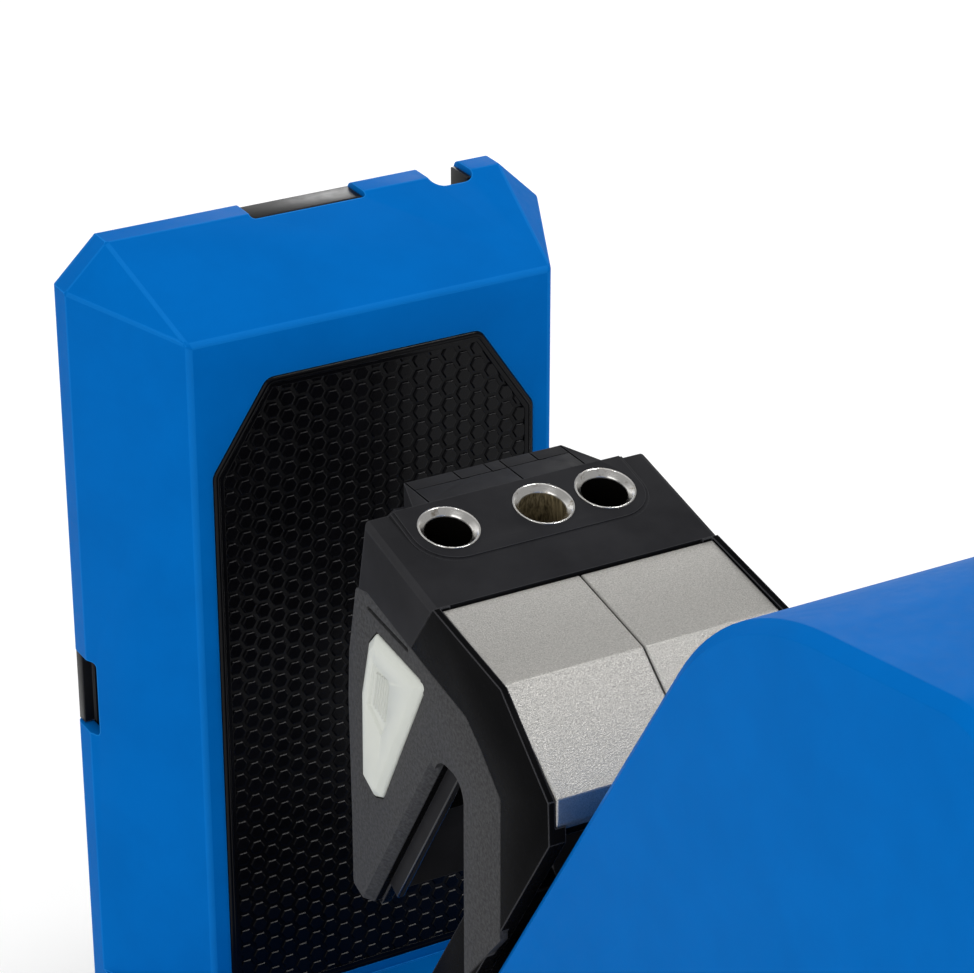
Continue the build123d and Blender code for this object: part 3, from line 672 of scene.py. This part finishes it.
def release_button(side, hand):
    """A button in place of its plain node."""
    work = bmesh.new()
    rings = [
        [work.verts.new(at(side * x, y, z)) for y, z in rounded(BUTTON, BUTTON_CORNER_R, inset)]
        for inset, x in BUTTON_PROFILE
    ]
    marks = [
        [
            work.verts.new(at(side * (BUTTON_TOP + x), y, z))
            for y, z in rounded(MARK, MARK_CORNER_R, inset, steps=2)
        ]
        for inset, x in MARK_PROFILE
    ]
    work.faces.new(rings[0])
    work.faces.new(marks[-1])
    for lower, upper in (*zip(rings, rings[1:]), *zip(marks, marks[1:])):
        bridge(work, lower, upper)
    rims = {vert for ring in (rings[-1], marks[0]) for vert in ring}
    bmesh.ops.triangle_fill(
        work,
        use_beauty=True,
        edges=[edge for edge in work.edges if edge.is_boundary and rims.issuperset(edge.verts)],
    )
    for number in range(MARK_RIBS):
        mark_rib(work, side, number)
    button = new_piece(
        work,
        f"button_{hand}_shaped",
        light_plastic,
        f"button_{hand}",
        [f"release_button_{hand}"],
    )
    soften(button)


# Rib behind each side window, along the track: its line, its two faces, its ends and its sides
WINDOW_RIB_START = (-15.8, -44.3)
WINDOW_RIB_FACES = (2.6, -4.9)
WINDOW_RIB_ENDS = (-8, 44)
WINDOW_RIB_SIDES = (26.9, 28.6)


def window_ribs():
    """Dark ribs inside the cheeks, seen through the side windows."""
    work = bmesh.new()
    rear, front = WINDOW_RIB_FACES
    top, foot = WINDOW_RIB_ENDS
    outline = []
    for across, down in ((rear, top), (front, top), (front, foot), (rear, foot)):
        outline.append((
            WINDOW_RIB_START[0] + across * -TRACK_Z + down * TRACK_Y,
            WINDOW_RIB_START[1] + across * TRACK_Y + down * TRACK_Z,
        ))
    for side in (1, -1):
        loft(work, [[at(side * x, y, z) for y, z in outline] for x in WINDOW_RIB_SIDES])
    ribs = new_piece(work, "window_ribs", block_plastic, "carriage")
    soften(ribs, 0.35, edge_finish=black_edge)


# Screws of the bottom plate and the back cover: where they are, and their radius and height
PLATE_SCREWS = [(-34, -106), (34, -106), (-48, 50), (48, 50)]
PLATE_BOTTOM = -181.0
PLATE_HEAD = (3.4, 1.6)
COVER_SCREWS = [(-36, 8), (36, 8), (-36, -120), (36, -120)]
COVER_BACK = 101.55
COVER_HEAD = (3.0, 1.0)
# Share of a head's radius and of its height
HEAD_PROFILE = ((1.0, -0.02), (1.0, 0.45), (0.9, 0.8), (0.7, 1.0))
HEAD_STEPS = 24
SOCKET_CORNER = 0.42
SOCKET_FLOOR = 0.35
X_AXIS = Vector((1, 0, 0))
Y_AXIS = Vector((0, 1, 0))
Z_AXIS = Vector((0, 0, 1))


def socket_screw(work, centre, across, up, out, radius, height):
    """A low round head with a six-sided socket."""
    turns = [2 * math.pi * k / HEAD_STEPS for k in range(HEAD_STEPS)]
    half_side = math.pi / 6
    flat = SOCKET_CORNER * math.cos(half_side)
    hexagon = [flat / math.cos(turn % (2 * half_side) - half_side) for turn in turns]
    sections = [([scale] * HEAD_STEPS, lift) for scale, lift in HEAD_PROFILE]
    sections += [(hexagon, 1.0), (hexagon, SOCKET_FLOOR)]
    rings = []
    for reaches, lift in sections:
        ring = []
        for turn, reach in zip(turns, reaches):
            offset = across * math.cos(turn) + up * math.sin(turn)
            ring.append(centre + (offset * radius * reach + out * height * lift) * MM)
        rings.append(ring)
    loft(work, rings)


def screws(name, centres, axes, head):
    """A group of like screws as one piece."""
    work = bmesh.new()
    for centre in centres:
        socket_screw(work, centre, *axes, *head)
    soften(new_piece(work, name, zinc_steel, "base"))


# Bead near the outer edge of the pad's border: inset from the pad's outline, and depth
PAD_OUTLINE = [
    (-38.7, -144.5),
    (-38.7, -11.25),
    (-25.5, 8.6),
    (25.5, 8.6),
    (38.7, -11.25),
    (38.7, -144.5),
]
PAD_CORNER_R = 3.0
PAD_FACE_Y = 64.2
BEAD_PROFILE = ((0.9, 0.04), (1.1, -0.12), (1.3, -0.12), (1.5, 0.04))


def pad_bead():
    """A fine raised line round the pad."""
    work = bmesh.new()
    rings = [
        [at(x, PAD_FACE_Y + y, z) for x, z in rounded(PAD_OUTLINE, PAD_CORNER_R, inset)]
        for inset, y in BEAD_PROFILE
    ]
    loft(work, rings, closed=True)
    soften(new_piece(work, "pad_bead", rubber_black, "base"))


# Grip studs of the rubber pad: flat-topped hexagons in columns, cut off at the field's edge
FIELD_Y = 64.7
FIELD = [
    (-36.3, -142.1),
    (-36.3, -12.35),
    (-24.4, 6.2),
    (24.4, 6.2),
    (36.3, -12.35),
    (36.3, -142.1),
]
STUD_PITCH = 4.04
STUD_COLUMN = 3.51
STUD_COLUMNS = range(-11, 12)
STUD_ROWS = range(-32, 6)
STUD_MIDDLE_X = 0.2
# Height of row 0 in the even and the odd columns
STUD_START = (-13.35, -11.33)
STUD_CORNER = 1.8
# Growth of the corner's radius, and height over the field
STUD_PROFILE = ((0.06, 0.0), (0.0, 0.14), (-0.16, 0.35), (-0.28, 0.38))


def stud(work, x, z):
    """One six-sided stud with soft shoulders, standing on the field."""
    rings = []
    for grow, height in STUD_PROFILE:
        corners = []
        for k in range(6):
            turn = k * math.pi / 3
            corner_x = x + (STUD_CORNER + grow) * math.cos(turn)
            corner_z = z + (STUD_CORNER + grow) * math.sin(turn)
            corners.append(work.verts.new(at(corner_x, FIELD_Y - height, corner_z)))
        rings.append(corners)
    for lower, upper in zip(rings, rings[1:]):
        bridge(work, lower, upper)
    work.faces.new(rings[-1])


def grip_studs():
    """All the pad's studs as one piece."""
    work = bmesh.new()
    for column in STUD_COLUMNS:
        x = STUD_MIDDLE_X + column * STUD_COLUMN
        for row in STUD_ROWS:
            stud(work, x, STUD_START[column % 2] + row * STUD_PITCH)
    for k, (x0, z0) in enumerate(FIELD):
        x1, z1 = FIELD[(k + 1) % len(FIELD)]
        bmesh.ops.bisect_plane(
            work,
            geom=work.verts[:] + work.edges[:] + work.faces[:],
            plane_co=at(x0, 0, z0),
            plane_no=Vector((z0 - z1, 0, x1 - x0)).normalized(),
            clear_outer=True,
        )
    new_piece(work, "pad_studs", rubber_black, "base")


trimmed_shell()
release_button(1, "right")
release_button(-1, "left")
window_ribs()
screws(
    "plate_screws",
    [at(x, y, PLATE_BOTTOM) for x, y in PLATE_SCREWS],
    (X_AXIS, Y_AXIS, -Z_AXIS),
    PLATE_HEAD,
)
screws(
    "cover_screws",
    [at(x, COVER_BACK, z) for x, z in COVER_SCREWS],
    (X_AXIS, Z_AXIS, Y_AXIS),
    COVER_HEAD,
)
pad_bead()
grip_studs()

# Floor, world, lights and camera
FLOOR_SIZE = 12
FLOOR_Z = -0.0002
FLOOR_GLOW = 0.12
# Strength of the world in diffuse light, and in reflections from the sides and the ceiling
ROOM_LIGHT = 0.8
ROOM_GLOSS = (0.3, 0.6)
# Reflected directions over which the backdrop and the ceiling come in
BACKDROP_SIDE = (-0.1, 0.5)
BACKDROP_TOP = (0.75, 0.35)
CEILING = (0.8, 0.95)
# Places in metres, sizes in metres and powers in watts
LAMPS = (
    ("key", (0.53, -0.15, 1.25), 0.22, 2.6),
    ("rim", (0.62, 1.12, 0.55), 0.3, 2.0),
    ("fill", (-1.1, -0.8, 0.6), 1.0, 4.0),
    ("glint", (-0.23, -0.19, 1.3), 0.08, 1.0),
)
LAMP_TARGET = (0, 0.03, 0.15)
CAMERA_PLACE = (-0.30798, -0.48387, 0.48885)
CAMERA_LOOK = (0.4407, 0.7827, -0.4394)
CAMERA_LENS = 127.87
SENSOR_WIDTH = 36.0


def stage_floor():
    """A pale floor, white where nothing shades it."""
    bpy.ops.mesh.primitive_plane_add(size=FLOOR_SIZE, location=(0, 0, FLOOR_Z))
    floor = bpy.context.object
    floor.name = "floor"
    material, tree, shader = new_material("pale_floor")
    shader.inputs["Base Color"].default_value = (0.92, 0.92, 0.92, 1)
    shader.inputs["Roughness"].default_value = 0.9
    shader.inputs["Specular IOR Level"].default_value = 0.1
    shader.inputs["Emission Color"].default_value = (1, 1, 1, 1)
    path = tree.nodes.new("ShaderNodeLightPath")
    is_seen = calculate(
        tree, "MAXIMUM", path.outputs["Is Camera Ray"], path.outputs["Is Glossy Ray"]
    )
    glow = ramp(tree, is_seen, result=(0.0, FLOOR_GLOW))
    tree.links.new(glow, shader.inputs["Emission Strength"])
    floor.data.materials.append(material)


def studio_world():
    """White to the camera, even light on the object, a backdrop and dim room in reflections."""
    world = bpy.data.worlds.new("world")
    scene.world = world
    world.use_nodes = True
    tree = world.node_tree
    tree.nodes.clear()
    output = tree.nodes.new("ShaderNodeOutputWorld")
    path = tree.nodes.new("ShaderNodeLightPath")
    background = tree.nodes.new("ShaderNodeBackground")
    background.inputs["Color"].default_value = (1, 1, 1, 1)
    direction = tree.nodes.new("ShaderNodeTexCoord")
    axes = tree.nodes.new("ShaderNodeSeparateXYZ")
    tree.links.new(direction.outputs["Generated"], axes.inputs[0])
    behind = ramp(tree, axes.outputs["Y"], BACKDROP_SIDE)
    low = ramp(tree, axes.outputs["Z"], BACKDROP_TOP)
    backdrop = calculate(tree, "MULTIPLY", behind, low)
    ceiling = ramp(tree, axes.outputs["Z"], CEILING, ROOM_GLOSS)
    room = calculate(tree, "MAXIMUM", backdrop, ceiling)
    shared = blend_value(tree, path.outputs["Is Diffuse Ray"], room, ROOM_LIGHT)
    seen = blend_value(tree, path.outputs["Is Camera Ray"], shared, 1.0)
    tree.links.new(seen, background.inputs["Strength"])
    tree.links.new(background.outputs[0], output.inputs["Surface"])


def aim(item, place, look):
    """Put a lamp or camera in its place and turn it along a direction."""
    item.location = place
    item.rotation_euler = look.to_track_quat("-Z", "Y").to_euler()


def area_light(name, place, size, power):
    """A soft square lamp aimed at the jig."""
    data = bpy.data.lights.new(name, "AREA")
    data.shape = "SQUARE"
    data.size = size
    data.energy = power
    aim(new_object(name, data), place, Vector(LAMP_TARGET) - Vector(place))


def photo_camera():
    """A camera that sees the jig as the photograph does."""
    data = bpy.data.cameras.new("camera")
    data.lens = CAMERA_LENS
    data.sensor_width = SENSOR_WIDTH
    data.sensor_fit = "HORIZONTAL"
    data.clip_start = 0.01
    scene.camera = new_object("camera", data)
    aim(scene.camera, CAMERA_PLACE, Vector(CAMERA_LOOK))


scene.view_settings.view_transform = "Standard"
stage_floor()
studio_world()
for lamp in LAMPS:
    area_light(*lamp)
photo_camera()
